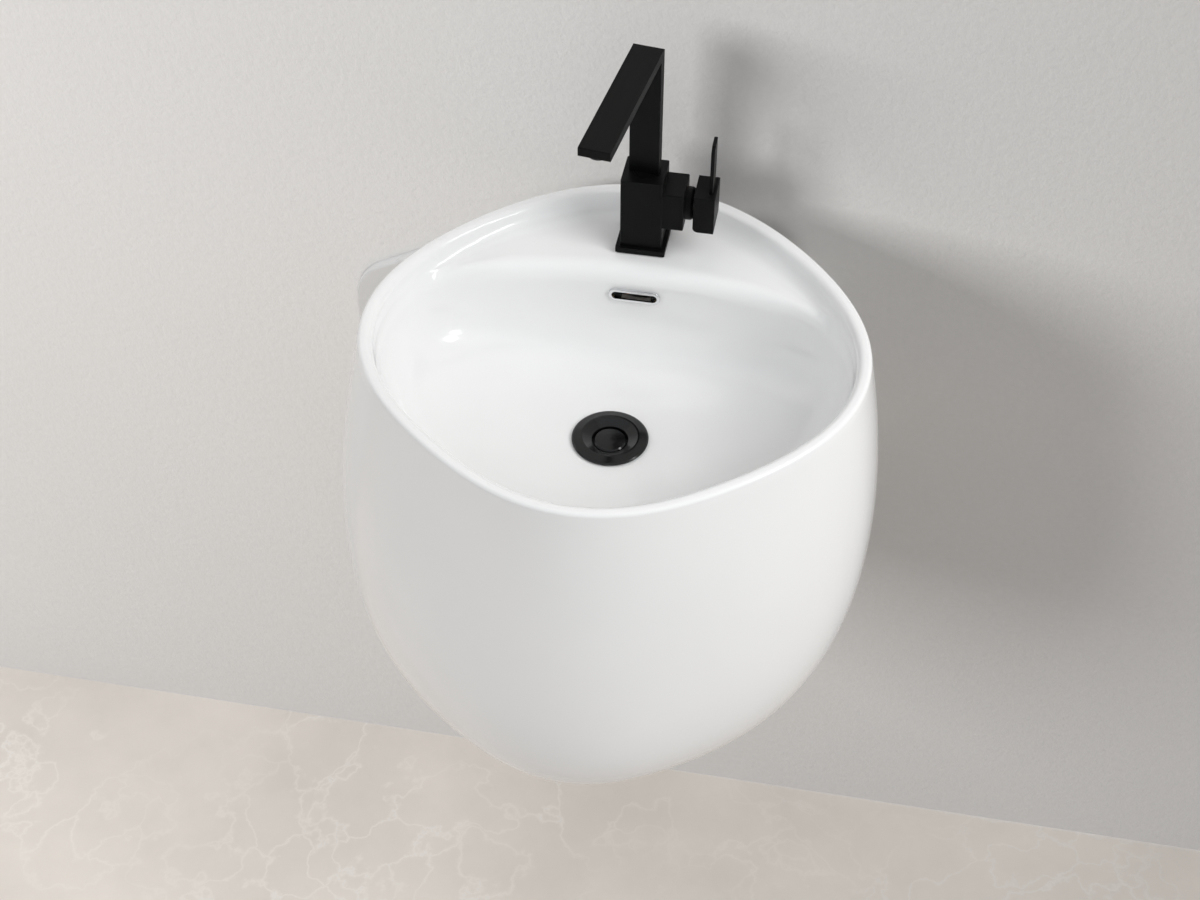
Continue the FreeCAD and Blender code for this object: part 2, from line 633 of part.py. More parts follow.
handle = padded("handle_block", "XZ_Plane", S.handle_deep, rectangle(
    ZERO, S.handle_long, -S.handle_high / 2, S.handle_high / 2), both=True)
soften(handle, S.handle_round, lambda e: along(1, e) and e.BoundBox.XMax < 0.1 and e.BoundBox.ZMax < 0)
soften(handle, Term(0.8, "0.8"), lambda e: along(0, e) or (along(1, e) and e.BoundBox.XMin > G["handle_long"] - 0.1), "Chamfer")
pocket_rad = S.neck_rad + 1.5
padded("neck_pocket", "YZ_Plane", pocket_long, circles=[(0, 0, pocket_rad)], owner=handle, cut=True, back=True)
doc.recompute()
padded("stem_socket", "YZ_Plane", S.handle_long - 5, rectangle(
    -S.stem_side / 2, S.stem_side / 2, -S.stem_side / 2, S.stem_side / 2), owner=handle, cut=True, back=True)
lever_x = S.handle_long - S.lever_inset - S.lever_thick
lever_sink = Term(5, "5")
slot_in = sketch_on(handle, "XY_Plane", "lever_slot")
outline(slot_in, rectangle(lever_x, lever_x + S.lever_thick, -S.lever_deep / 2, S.lever_deep / 2))
slot_in.AttachmentOffset = Placement(Vector(0, 0, G["handle_high"] / 2), Rotation())
bind(slot_in, "AttachmentOffset.Base.z", S.handle_high / 2)
cut_in = handle.newObject("PartDesign::Pocket", "lever_slot_pocket")
cut_in.Profile = slot_in
bind(cut_in, "Length", lever_sink)
doc.recompute()
screw_in = sketch_on(handle, "XY_Plane", "grub_bore")
circle(screw_in, lever_x, 0, Term(2.5, "2.5"))
cut_in = handle.newObject("PartDesign::Pocket", "grub_bore_pocket")
cut_in.Profile = screw_in
bind(cut_in, "Length", S.handle_high)
cut_in.Reversed = False
on_tap(handle, block_start)

lever = padded("lever_blade", "XY_Plane", S.lever_high + lever_sink, rectangle(
    ZERO, S.lever_thick, -S.lever_deep / 2, S.lever_deep / 2))
soften(lever, S.lever_cut, lambda e: along(0, e) and e.BoundBox.ZMin > G["lever_high"] and e.BoundBox.YMax < 0, "Chamfer")
soften(lever, Term(0.5, "0.5"), lambda e: along(2, e), "Chamfer")
on_tap(lever, block_start + lever_x, cart_z + S.handle_high / 2 - lever_sink)
grub = turned("handle_grub_screw", [(ZERO, ZERO), (Term(2.5, "2.5"), ZERO), (Term(2.5, "2.5"), S.handle_high / 2 - S.stem_side / 2 - 2),
                                    (ZERO, S.handle_high / 2 - S.stem_side / 2 - 2)])
on_tap(grub, block_start + lever_x, cart_z - S.handle_high / 2 + 2)

# spout: an upright flat bar, mitred into a sloping flat bar, on a round spigot
swivel_gap = S.face_gap
slope = S.spout_fall / S.spout_reach
thick = S.spout_thick
spout = padded("spout", "YZ_Plane", S.spout_wide, [
    (-thick / 2, swivel_gap), (thick / 2, swivel_gap), (thick / 2, S.spout_rise),
    (-S.spout_reach, S.spout_rise - S.spout_fall), (-S.spout_reach, S.spout_rise - S.spout_fall - thick),
    (-thick / 2, S.spout_rise - thick - slope * thick)], both=True)
soften(spout, Term(0.8, "0.8"), lambda e: along(0, e) and e.BoundBox.ZMin > G["spout_rise"] - G["spout_fall"] - 12, "Chamfer")
turned("spout_spigot", [
    (ZERO, swivel_gap - S.spigot_long), (S.spigot_rad, swivel_gap - S.spigot_long), (S.spigot_rad, swivel_gap - S.seal_drop),
    (S.spigot_rad - S.seal_deep, swivel_gap - S.seal_drop), (S.spigot_rad - S.seal_deep, swivel_gap - S.seal_drop + S.seal_high),
    (S.spigot_rad, swivel_gap - S.seal_drop + S.seal_high), (S.spigot_rad, swivel_gap + 0.5), (ZERO, swivel_gap + 0.5)], owner=spout)
aerator_y = -S.spout_reach + S.aerator_rad + 3
aerator_z = S.spout_rise - S.spout_fall - thick + slope * (S.aerator_rad + 3)
well = sketch_on(spout, "XY_Plane", "aerator_well")
circle(well, 0, aerator_y, S.aerator_rad)
well.AttachmentOffset = Placement(Vector(0, 0, 90), Rotation())
bind(well, "AttachmentOffset.Base.z", aerator_z - 3)
cut_in = spout.newObject("PartDesign::Pocket", "aerator_well_pocket")
cut_in.Profile = well
bind(cut_in, "Length", Term(7.5, "7.5"))
cut_in.Reversed = True
turn = Rotation(Vector(0, 0, 1), -G["spout_turn"])


def on_spout(made, y=ZERO, z=ZERO):
    made.Placement = Placement(Vector(0, 0, 0), turn)
    bind(made, "Placement.Base.x", y * Term(math.sin(math.radians(G["spout_turn"])), "sin(Sizes.spout_turn)"))
    bind(made, "Placement.Base.y", y * Term(math.cos(math.radians(G["spout_turn"])), "cos(Sizes.spout_turn)") - S.tap_reach)
    bind(made, "Placement.Base.z", tap_top + z)
    return made


on_spout(spout)
on_spout(ring("aerator_housing", S.aerator_rad - S.run_gap, S.aerator_rad - 1.5, Term(-6.5, "-6.5"), Term(1, "1")), aerator_y, aerator_z + 3)
on_spout(ring("aerator_insert", S.aerator_rad - 1.5 - S.run_gap, ZERO, Term(-5.5, "-5.5"), Term(0.5, "0.5")), aerator_y, aerator_z + 3)
on_spout(ring("spout_seal", S.spigot_rad - 0.02, S.spigot_rad - S.seal_deep, -S.seal_drop, S.seal_high - S.seal_drop), ZERO, swivel_gap)

# ---------------------------------------------------------------- waste
seat = S.rim_level - S.bowl_depth
flange_low = seat + S.flange_seal


def on_drain(made, z=ZERO):
    place(made, 0, -S.drain_reach, z)
    return made


on_drain(ring("waste_flange_seal", S.flange_rad - 1.5, S.drain_hole + 0.3, ZERO, S.flange_seal), seat)
crest = S.flange_rad * 0.72
waste = turned("waste_body", [
    (S.waste_rad, -S.waste_long), (S.waste_rad, ZERO), (S.flange_rad, ZERO), (S.flange_rad, Term(0.8, "0.8")),
    (S.flange_rad - 1.2, Term(1.7, "1.7")), (crest + 1.5, Term(3.2, "3.2")), (crest, Term(3.2, "3.2")),
    (S.waste_mouth + 1, Term(-0.6, "-0.6")), (S.waste_mouth, Term(-1.2, "-1.2")),
    (S.waste_mouth, Term(-7, "-7")), (S.waste_seat, Term(-7, "-7")), (S.waste_seat, Term(-10, "-10")),
    (S.waste_bore, Term(-12, "-12")), (S.waste_bore, -S.waste_long)])
doc.recompute()
windows = sketch_on(waste, "XZ_Plane", "overflow_windows")
outline(windows, rectangle(Term(-7, "-7"), Term(7, "7"), Term(-36, "-36"), Term(-18, "-18")))
cut_in = waste.newObject("PartDesign::Pocket", "overflow_windows_pocket")
cut_in.Profile = windows
cut_in.SideType = "Symmetric"
bind(cut_in, "Length", S.waste_rad * 2 + 4)
on_drain(waste, flange_low)

plug_low = flange_low - 5.6
on_drain(turned("plug_cap", [
    (ZERO, ZERO), (S.plug_rad - 2, ZERO), (S.plug_rad, Term(1, "1")), (S.plug_rad, Term(3.4, "3.4")),
    (S.plug_rad - 1.2, Term(4.4, "4.4")), (S.plug_rad * 0.45, Term(5, "5")), (ZERO, Term(5.2, "5.2"))]), plug_low)
on_drain(turned("plug_seal", [
    (Term(4, "4"), Term(-1.3, "-1.3")), (S.plug_rad - 3, Term(-1.3, "-1.3")), (S.plug_rad + 0.9, Term(-0.9, "-0.9")),
    (S.plug_rad + 0.9, ZERO), (Term(4, "4"), ZERO)]), plug_low)
on_drain(ring("plug_stem", Term(3, "3"), ZERO, Term(-26, "-26"), ZERO), plug_low)
click = turned("click_cartridge", [
    (Term(3.05, "3.05"), Term(-26, "-26")), (Term(6.5, "6.5"), Term(-26, "-26")), (Term(6.5, "6.5"), ZERO),
    (Term(3.05, "3.05"), ZERO)])
doc.recompute()
padded("click_arms", "XY_Plane", Term(3, "3"), rectangle(
    Term(5, "5"), S.waste_bore - 0.02, Term(-2, "-2"), Term(2, "2")), owner=click, back=True)
padded("click_arms_left", "XY_Plane", Term(3, "3"), rectangle(
    -S.waste_bore + 0.02, Term(-5, "-5"), Term(-2, "-2"), Term(2, "2")), owner=click, back=True)
on_drain(click, flange_low - 15)

boss_low = seat - S.boss_drop
on_drain(turned("waste_lower_seal", [
    (S.waste_rad + 0.2, ZERO), (S.boss_rad - 4, ZERO), (S.boss_rad - 2, Term(4, "4")), (S.waste_rad + 0.2, Term(4, "4"))]),
    boss_low - 4)
on_drain(ring("waste_washer", S.boss_rad - 3, S.waste_rad + 0.3, ZERO, Term(1.5, "1.5")), boss_low - 5.5)
back_nut = padded("waste_back_nut", "XY_Plane", Term(8, "8"), hexagon(S.boss_rad - 6), [(0, 0, S.waste_rad)])
on_drain(back_nut, boss_low - 13.5)

# ---------------------------------------------------------------- bottle trap
tail_low = flange_low - S.waste_long
on_drain(turned("trap_inlet_washer", [
    (S.pipe_rad - S.pipe_wall, Term(-1.5, "-1.5")), (S.waste_rad, Term(-1.5, "-1.5")), (S.waste_rad, ZERO),
    (S.pipe_rad - S.pipe_wall, ZERO)]), tail_low)
on_drain(turned("trap_inlet_nut", [
    (S.waste_rad, Term(7, "7")), (S.waste_rad + 4.5, Term(7, "7")), (S.waste_rad + 4.5, Term(-7, "-7")),
    (S.pipe_rad + 0.3, Term(-7, "-7")), (S.pipe_rad + 0.3, Term(-4, "-4")), (S.waste_rad, Term(-4, "-4"))]), tail_low)
trap_top = -S.trap_level + S.pipe_rad + 6
trap_foot = -S.trap_level - S.pipe_rad - 6
dip = trap_foot - S.trap_cup_high * 0.35
on_drain(turned("trap_inlet_tube", [
    (S.pipe_rad - S.pipe_wall, dip - tail_low), (S.pipe_rad, dip - tail_low), (S.pipe_rad, Term(-4, "-4")),
    (S.waste_rad - 0.5, Term(-4, "-4")), (S.waste_rad - 0.5, Term(-1.5, "-1.5")),
    (S.pipe_rad - S.pipe_wall, Term(-1.5, "-1.5"))]), tail_low)
neck_rad = S.pipe_rad + 5
trap = turned("trap_body", [
    (S.trap_rad - S.trap_wall, trap_foot), (S.trap_rad, trap_foot), (S.trap_rad, trap_top - 4),
    (S.trap_rad - 4, trap_top), (S.pipe_rad + 0.2, trap_top), (S.pipe_rad + 0.2, trap_top - S.trap_wall),
    (S.trap_rad - S.trap_wall, trap_top - S.trap_wall - 3)])
doc.recompute()
socket = sketch_on(trap, "XZ_Plane", "outlet_socket")
circle(socket, 0, -S.trap_level, neck_rad)
grow = trap.newObject("PartDesign::Pad", "outlet_socket_pad")
grow.Profile = socket
bind(grow, "Length", S.trap_rad + 16)
grow.Reversed = True
doc.recompute()
bore = sketch_on(trap, "XZ_Plane", "outlet_bore")
circle(bore, 0, -S.trap_level, S.pipe_rad)
cut_in = trap.newObject("PartDesign::Pocket", "outlet_bore_pocket")
cut_in.Profile = bore
bind(cut_in, "Length", S.trap_rad + 20)
doc.recompute()
turned("trap_clear", [(ZERO, trap_foot - 1), (S.trap_rad - S.trap_wall, trap_foot - 1),
                      (S.trap_rad - S.trap_wall, trap_top - S.trap_wall - 3), (S.pipe_rad + 0.2, trap_top - S.trap_wall),
                      (S.pipe_rad + 0.2, trap_top + 1), (ZERO, trap_top + 1)],
       cut=True, owner=trap)
on_drain(trap)
on_drain(ring("trap_neck_nut", S.pipe_rad + 6, S.pipe_rad + 0.2, ZERO, Term(7, "7")), trap_top)
on_drain(ring("trap_cup_seal", S.trap_rad, S.trap_rad - S.trap_wall, Term(-1.5, "-1.5"), ZERO), trap_foot)
cup_low = trap_foot - S.trap_cup_high
on_drain(turned("trap_cup", [
    (ZERO, cup_low), (S.trap_rad - 8, cup_low), (S.trap_rad, cup_low + 8), (S.trap_rad, trap_foot - 1.5),
    (S.trap_rad - S.trap_wall, trap_foot - 1.5), (S.trap_rad - S.trap_wall, cup_low + 9),
    (S.trap_rad - 9, cup_low + S.trap_wall), (ZERO, cup_low + S.trap_wall)]))
outlet_start = -S.drain_reach + S.trap_rad + 2
pipe_end = S.drain_reach - S.trap_rad - 2
bead = pipe_end - S.pipe_entry
pipe = turned("trap_outlet_pipe", [
    (S.pipe_rad - S.pipe_wall, ZERO), (S.pipe_rad, ZERO), (S.pipe_rad, bead - 3), (S.pipe_rad + 1, bead - 3),
    (S.pipe_rad + 1, bead), (S.pipe_rad, bead), (S.pipe_rad, pipe_end), (S.pipe_rad - S.pipe_wall, pipe_end)])
place(pipe, 0, outlet_start, -S.trap_level, (1, 0, 0), -90)
nut = turned("trap_outlet_nut", [
    (S.pipe_rad + 0.2, ZERO), (neck_rad + 3, ZERO), (neck_rad + 3, Term(10, "10")), (S.pipe_rad + 0.2, Term(10, "10"))])
place(nut, 0, -S.drain_reach + S.trap_rad + 16, -S.trap_level, (1, 0, 0), -90)

# ---------------------------------------------------------------- overflow trim
ov_wide, ov_high = G["overflow_wide"], G["overflow_high"]


def stadium(wide, high, y, long):
    reach = (wide - high) / 2
    a = Part.makeBox(wide - high, long, high, Vector(-reach, y, -high / 2))
    for at in (-reach, reach):
        a = a.fuse(rod(high / 2, at, y, 0, long, Vector(0, 1, 0)))
    return a.removeSplitter()


sleeve_gap = G["face_gap"]
wall_y = -G["deck_reach"] - 1.1
trim = stadium(ov_wide + 3.8, ov_high + 3.8, wall_y - 2.2, 2.2)
trim = trim.makeFillet(1.0, [e for e in trim.Edges if e.BoundBox.YMax < wall_y - 2.1])
trim = trim.fuse(stadium(ov_wide - sleeve_gap, ov_high - sleeve_gap, wall_y - 1, 6))
trim = trim.cut(stadium(ov_wide - sleeve_gap - 1.6, ov_high - sleeve_gap - 1.6, wall_y - 5, 15)).removeSplitter()
ring_trim = feature("overflow_ring", trim)
ring_trim.Placement = Placement(Vector(0, 0, slot_z), Rotation())

doc.recompute()
bad = [o.Label for o in doc.Objects if {"Invalid", "Error"} & set(o.State)]
pieces = [o for o in doc.Objects if o.TypeId in ("PartDesign::Body", "Part::Feature")]
for piece in pieces:
    if piece.Shape.isNull() or not piece.Shape.isValid():
        bad.append(piece.Label)
if bad:
    raise RuntimeError("pieces not built: " + ", ".join(bad))
os.makedirs("parts", exist_ok=True)
for piece in pieces:
    piece.Shape.exportStep("parts/%s.step" % piece.Label)
    print("%-24s %2d solids %10.0f mm3" % (piece.Label, len(piece.Shape.Solids), piece.Shape.Volume))
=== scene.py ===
import json
import math
import bpy
import numpy as np
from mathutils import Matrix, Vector


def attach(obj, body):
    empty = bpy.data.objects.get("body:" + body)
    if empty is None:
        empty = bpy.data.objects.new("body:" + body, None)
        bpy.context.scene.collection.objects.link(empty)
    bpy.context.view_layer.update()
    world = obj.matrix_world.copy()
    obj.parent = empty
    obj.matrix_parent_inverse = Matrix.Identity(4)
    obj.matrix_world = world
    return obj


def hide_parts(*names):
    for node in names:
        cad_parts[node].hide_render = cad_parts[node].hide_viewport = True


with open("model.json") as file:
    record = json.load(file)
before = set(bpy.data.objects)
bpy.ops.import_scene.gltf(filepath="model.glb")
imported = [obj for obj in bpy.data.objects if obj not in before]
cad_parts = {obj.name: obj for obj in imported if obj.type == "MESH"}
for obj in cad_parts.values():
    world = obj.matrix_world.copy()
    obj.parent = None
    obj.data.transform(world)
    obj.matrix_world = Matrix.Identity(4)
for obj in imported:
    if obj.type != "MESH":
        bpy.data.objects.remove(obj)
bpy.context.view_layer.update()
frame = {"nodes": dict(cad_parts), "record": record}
nodes = frame["nodes"]
print("frame loaded:", len(nodes), "pieces")

# camera at the photograph's angle: 45 degrees down, turned 10.5 degrees to the left
cameraView = {"place": (0.1880, -1.2936, 1.0606), "down": 45.0, "turn": 10.5, "lens": 54.0, "sensor": 36.0}
eye = bpy.data.objects.new("camera", bpy.data.cameras.new("camera"))
bpy.context.scene.collection.objects.link(eye)
eye.data.lens, eye.data.sensor_width = cameraView["lens"], cameraView["sensor"]
eye.location = cameraView["place"]
eye.rotation_euler = (math.radians(90 - cameraView["down"]), 0, math.radians(cameraView["turn"]))
bpy.context.scene.camera = eye
bpy.context.scene.view_settings.view_transform = "Standard"
print("camera placed")


class Value:
    # one socket of a node tree; sums and products on it add Math nodes
    def __init__(self, look, socket):
        self.look, self.socket = look, socket

    def math(self, operation, *terms):
        return self.look.node("ShaderNodeMath", {"operation": operation}, dict(enumerate(terms)))

    def __add__(self, other):
        return self.math("ADD", self, other)

    def __radd__(self, other):
        return self.math("ADD", other, self)

    def __sub__(self, other):
        return self.math("SUBTRACT", self, other)

    def __rsub__(self, other):
        return self.math("SUBTRACT", other, self)

    def __mul__(self, other):
        return self.math("MULTIPLY", self, other)

    def __rmul__(self, other):
        return self.math("MULTIPLY", other, self)

    def __pow__(self, other):
        return self.math("POWER", self, other)

    def __rpow__(self, other):
        return self.math("POWER", other, self)

    def __gt__(self, other):
        return self.math("GREATER_THAN", self, other)

    def __lt__(self, other):
        return self.math("LESS_THAN", self, other)


class Look:
    # the nodes of one material, or of the world, and the few moves that every finish here uses
    def __init__(self, name, library="materials"):
        self.owner = getattr(bpy.data, library).new(name)
        self.owner.use_nodes = True
        self.tree = self.owner.node_tree
        self.tree.nodes.clear()

    def node(self, kind, settings=None, inputs=None, out=0):
        made = self.tree.nodes.new(kind)
        for key, value in (settings or {}).items():
            setattr(made, key, value)
        for key, value in (inputs or {}).items():
            if isinstance(value, Value):
                self.tree.links.new(value.socket, made.inputs[key])
            else:
                made.inputs[key].default_value = value
        return Value(self, made.outputs[out]) if made.outputs else None

    def place(self):
        return self.node("ShaderNodeTexCoord", out="Object")

    def stretch(self, scale):
        return self.node("ShaderNodeMapping", None, {"Vector": self.place(), "Scale": scale})

    def noise(self, scale, detail=2.0, rough=0.5, at=None):
        return self.node("ShaderNodeTexNoise", None, {
            "Vector": at or self.place(), "Scale": scale, "Detail": detail, "Roughness": rough})

    def ramp(self, value, low, high):
        return self.node("ShaderNodeMapRange", None, {"Value": value, "From Min": low, "From Max": high})

    def blend(self, share, first, second):
        def colour(c):
            return c if isinstance(c, Value) else (*c, 1)
        inputs = {0: share, 6: colour(first), 7: colour(second)}
        return self.node("ShaderNodeMix", {"data_type": "RGBA"}, inputs, 2)

    def bump(self, height, distance, strength=1.0):
        return self.node("ShaderNodeBump", None, {
            "Height": height, "Distance": distance, "Strength": strength})

    def principled(self, inputs):
        inputs = {k: (*v, 1) if isinstance(v, tuple) and len(v) == 3 else v for k, v in inputs.items()}
        return self.node("ShaderNodeBsdfPrincipled", None, inputs)

    def done(self, shader, output="ShaderNodeOutputMaterial"):
        self.node(output, None, {"Surface": shader})
        return self.owner


def glazedWhite(name, base, shade, rough=0.2, coat=1.0, ripple=0.00025, paintedShadeBox=None):
    # fired glaze: a soft white body under a clear coat that waves very slightly; inside the optional box in
    # the
    # # object the coat is left off and the colour is painted near black, painted shade where a deep hollow is
    # dark
    look = Look(name)
    cloud = look.ramp(look.noise(7, 3), 0.3, 0.7)
    speck = look.ramp(look.noise(900, 1), 0.70, 0.78)
    colour = look.blend(cloud, base, shade)
    colour = look.blend(speck * 0.10, colour, tuple(c * 0.8 for c in shade))
    waves = look.noise(24, 2, 0.4) + look.noise(160, 1) * 0.03
    shine = coat - speck * 0.2
    # painted shade: inside the box the colour is set near black and the coat is taken off
    if paintedShadeBox:
        inside = 1.0
        for axis, low, high in zip("XYZ", paintedShadeBox["low"], paintedShadeBox["high"]):
            at = look.node("ShaderNodeSeparateXYZ", None, {"Vector": look.place()}, axis)
            inside = (at > low) * (at < high) * inside
        colour = look.blend(inside, colour, paintedShadeBox["paintedShadeColour"])
        shine = shine * (1.0 - inside)
    return look.done(look.principled({
        "Base Color": colour, "Roughness": rough + cloud * 0.05 + speck * 0.1, "Coat Weight": shine,
        "Coat Roughness": 0.05, "Coat IOR": 1.45, "Specular IOR Level": 0.3,
        "Normal": look.bump(waves, ripple)}))


def powderBlack(name, base, rough, grain=0.00006, scale=2200, shine=0.12):
    # baked black powder coat: a fine even grain, a little lighter where it is rubbed
    look = Look(name)
    grainy = look.noise(scale, 2, 0.6)
    cloud = look.ramp(look.noise(30, 3), 0.3, 0.7)
    rubbed = tuple(c * 1.7 + 0.0015 for c in base)
    colour = look.blend(cloud * 0.5 + look.ramp(grainy, 0.4, 0.75) * 0.3, base, rubbed)
    return look.done(look.principled({
        "Base Color": colour, "Roughness": rough + cloud * 0.07 - look.ramp(grainy, 0.5, 0.8) * 0.05,
        "Specular IOR Level": shine, "Normal": look.bump(grainy, grain)}))


def brightMetal(name, base, dull, rough, scratch=(60, 60, 900), wear=0.25):
    # turned or drawn metal: fine marks one way, dull patches from handling
    look = Look(name)
    marks = look.noise(1.0, 3, 0.6, look.stretch(scratch))
    patch = look.ramp(look.noise(45, 4), 0.42, 0.68)
    return look.done(look.principled({
        "Base Color": look.blend(patch * wear, base, dull), "Metallic": 1.0 - patch * 0.05,
        "Roughness": rough + marks * 0.08 + patch * 0.12, "Normal": look.bump(marks, 0.00004)}))


def mouldedPlastic(name, base, shade, rough, coat=0.0):
    # moulded plastic: broad clouds of tone and a very fine skin
    look = Look(name)
    cloud = look.ramp(look.noise(18, 3), 0.3, 0.7)
    fine = look.noise(1500, 1)
    return look.done(look.principled({
        "Base Color": look.blend(cloud, base, shade), "Roughness": rough + cloud * 0.08,
        "Coat Weight": coat + cloud * 0.02, "Specular IOR Level": 0.4, "Normal": look.bump(fine, 0.00003)}))


def mouldedRubber(name, base):
    # moulded rubber: dull, with dust that lightens it in patches
    look = Look(name)
    dust = look.ramp(look.noise(60, 4), 0.45, 0.75)
    fine = look.noise(2600, 2)
    return look.done(look.principled({
        "Base Color": look.blend(dust * 0.5, base, tuple(c * 1.6 + 0.02 for c in base)),
        "Roughness": 0.72 + dust * 0.12, "Normal": look.bump(fine, 0.00005)}))


# inside of the overflow passage, in metres, painted near black as painted shade for the deep passage
passageShadeBox = {"low": (-0.0215, -0.1143, -0.035), "high": (0.0215, -0.0995, 0.0665),
              "paintedShadeColour": (0.012, 0.012, 0.012)}
finishes = {
    "glaze": glazedWhite("whiteGlaze", (0.86, 0.86, 0.855), (0.885, 0.885, 0.88), paintedShadeBox=passageShadeBox),
    "plate_white": glazedWhite("plateGlaze", (0.84, 0.84, 0.835), (0.865, 0.865, 0.86), 0.26, 0.8, 0.00015),
    "black": powderBlack("tapBlack", (0.0022, 0.0022, 0.0024), 0.40),
    "waste_black": powderBlack("wasteBlack", (0.0030, 0.0030, 0.0033), 0.14, 0.00001, 3000, 0.45),
    "chrome_trim": brightMetal("trimChrome", (0.78, 0.79, 0.80), (0.62, 0.63, 0.65), 0.05,
                               (300, 300, 300), 0.15),
    "bright_brass": brightMetal("turnedBrass", (0.70, 0.52, 0.24), (0.50, 0.36, 0.16), 0.18),
    "copper_tail": brightMetal("softCopper", (0.78, 0.42, 0.27), (0.50, 0.25, 0.16), 0.22, (700, 700, 40)),
    "nickel": brightMetal("dullNickel", (0.56, 0.56, 0.55), (0.40, 0.40, 0.39), 0.24),
    "rubber_black": mouldedRubber("blackRubber", (0.018, 0.018, 0.019)),
    "rubber_grey": mouldedRubber("greyRubber", (0.20, 0.20, 0.21)),
    "plastic_white": mouldedPlastic("whitePlastic", (0.80, 0.80, 0.79), (0.84, 0.84, 0.825), 0.26, 0.2),
    "plastic_grey": mouldedPlastic("greyPlastic", (0.30, 0.31, 0.33), (0.34, 0.35, 0.37), 0.45),
    "plastic_cream": mouldedPlastic("creamPlastic", (0.72, 0.69, 0.60), (0.76, 0.74, 0.66), 0.42),
}
slotOf = {part["node"]: part["material_slot"] for part in frame["record"]["subparts"]}
for name, piece in nodes.items():
    piece.data.materials.clear()
    piece.data.materials.append(finishes[slotOf[name]])
print("finishes made:", len(finishes))


def smoothed(mesh, sharpFrom=35):
    # smooth faces, with edges kept sharp from this angle in degrees
    mesh.shade_smooth()
    mesh.set_sharp_from_angle(angle=math.radians(sharpFrom))


def newPiece(name, points, faces):
    # mesh object of these points and faces, with its place in its mesh
    mesh = bpy.data.meshes.new(name)
    mesh.from_pydata(np.asarray(points, float).tolist(), [], faces)
    mesh.update()
    piece = bpy.data.objects.new(name, mesh)
    bpy.context.scene.collection.objects.link(piece)
    smoothed(mesh)
    return piece


def levels(name, rows, low, high):
    # closed body of stacked level curves: rows x columns of points, closed round the
    # columns, and closed at both ends onto the points low and high
    count, around = rows.shape[:2]
    index = np.arange(count * around).reshape(count, around)
    left, right = index, np.roll(index, -1, axis=1)
    quads = np.stack([left[:-1], right[:-1], right[1:], left[1:]], axis=-1).reshape(-1, 4)
    first, last = count * around, count * around + 1
    fans = [np.stack([np.full(around, first), right[0], left[0]], axis=-1),
            np.stack([left[-1], right[-1], np.full(around, last)], axis=-1)]
    points = np.concatenate([rows.reshape(-1, 3), [low], [high]]) / 1000
    return newPiece(name, points, quads.tolist() + fans[0].tolist() + fans[1].tolist())


def prism(name, outline, start, end, axis):
    # the outline (columns u, v) carried from start to end along Y or Z
    count = len(outline)
    u, v = outline[:, 0], outline[:, 1]
    rings = []
    for at in (start, end):
        flat = np.full(count, float(at))
        rings.append(np.stack([u, flat, v] if axis == "y" else [u, v, flat], axis=-1))
    near, far = np.arange(count), np.arange(count) + count
    sides = np.stack([near, np.roll(near, -1), np.roll(far, -1), far], axis=-1)
    order = -1 if axis == "y" else 1
    faces = sides[:, ::order].tolist() + [near[::-order].tolist(), far[::order].tolist()]
    return newPiece(name, np.concatenate(rings) / 1000, faces)


def slab(name, low, high):
    # straight block between two corners
    outline = np.array([(low[0], low[1]), (high[0], low[1]), (high[0], high[1]), (low[0], high[1])], float)
    return prism(name, outline, low[2], high[2], "z")


def roundedOutline(corners, radii, arcSteps=12):
    # corner points in order, each replaced by an arc of its own radius
    made = []
    for i, (corner, radius) in enumerate(zip(corners, radii)):
        corner = np.array(corner, float)
        if not radius:
            made.append(corner[None])
            continue
        toward = [np.array(corners[k % len(corners)], float) - corner for k in (i - 1, i + 1)]
        toward = [w / np.linalg.norm(w) for w in toward]
        half = math.acos(float(toward[0] @ toward[1])) / 2
        middle = (toward[0] + toward[1]) / np.linalg.norm(toward[0] + toward[1])
        centre = corner + middle * radius / math.sin(half)
        ends = [corner + w * radius / math.tan(half) - centre for w in toward]
        turn = np.linspace(0, math.pi - 2 * half, arcSteps + 1)[:, None]
        side = ends[1] - ends[0] * math.cos(math.pi - 2 * half)
        side = side / np.linalg.norm(side) * radius
        made.append(centre + ends[0] * np.cos(turn) + side * np.sin(turn))
    return np.concatenate(made)


def carve(target, tool, operation="DIFFERENCE"):
    # cuts the tool from the target, or joins the two, and uses the tool up
    cut = target.modifiers.new("cut", "BOOLEAN")
    cut.operation, cut.solver, cut.object = operation, "MANIFOLD", tool
    result = bpy.data.meshes.new_from_object(target.evaluated_get(bpy.context.evaluated_depsgraph_get()))
    target.modifiers.clear()
    target.data = result
    bpy.data.objects.remove(tool)


# basin: every level is one closed curve about the drain axis, in millimetres
basin = {
    "around": 288, "drainReach": 233.0, "top": 100.0, "height": 305.0,
    "mean": 199.0, "forward": 17.5, "oval": 2.3, "corner": 5.7,
    "swell": 0.33, "power": 4.5, "lean": 34.0, "tuck": 63.0, "lowOval": 5.8,
    "rimWall": 11.0, "rimRound": 3.8, "lipRound": 6.6, "depth": 104.0, "bowlRound": 3.4, "draft": 0.04,
    "deck": 82.0, "deckRise": 0.6, "deckReach": 115.0, "deckCurve": 0.00085, "deckFoot": 25.0,
    "deckBack": 40.0, "footRound": 9.0, "edgeRound": 16.0, "deckFade": 22.0, "deckUnder": 70.0, "wall": 11.0,
    "drainHole": 22.5, "boss": 33.0, "bossLow": -49.0, "chamfer": 1.0,
    "shellStart": 0.05, "shellEnd": 0.965,      # shares of the height between which the shell is hollow
    "underTurn": 0.24, "underBend": 0.55,       # how the bowl's underside turns into its floor
    "least": 24.0,                              # nearest that the bowl's wall comes to the drain axis
    "meanPower": 9,                             # blends the bowl's side wall into its back wall
    "sideEnd": 0.85,                            # from here down the outside's rows crowd together
}
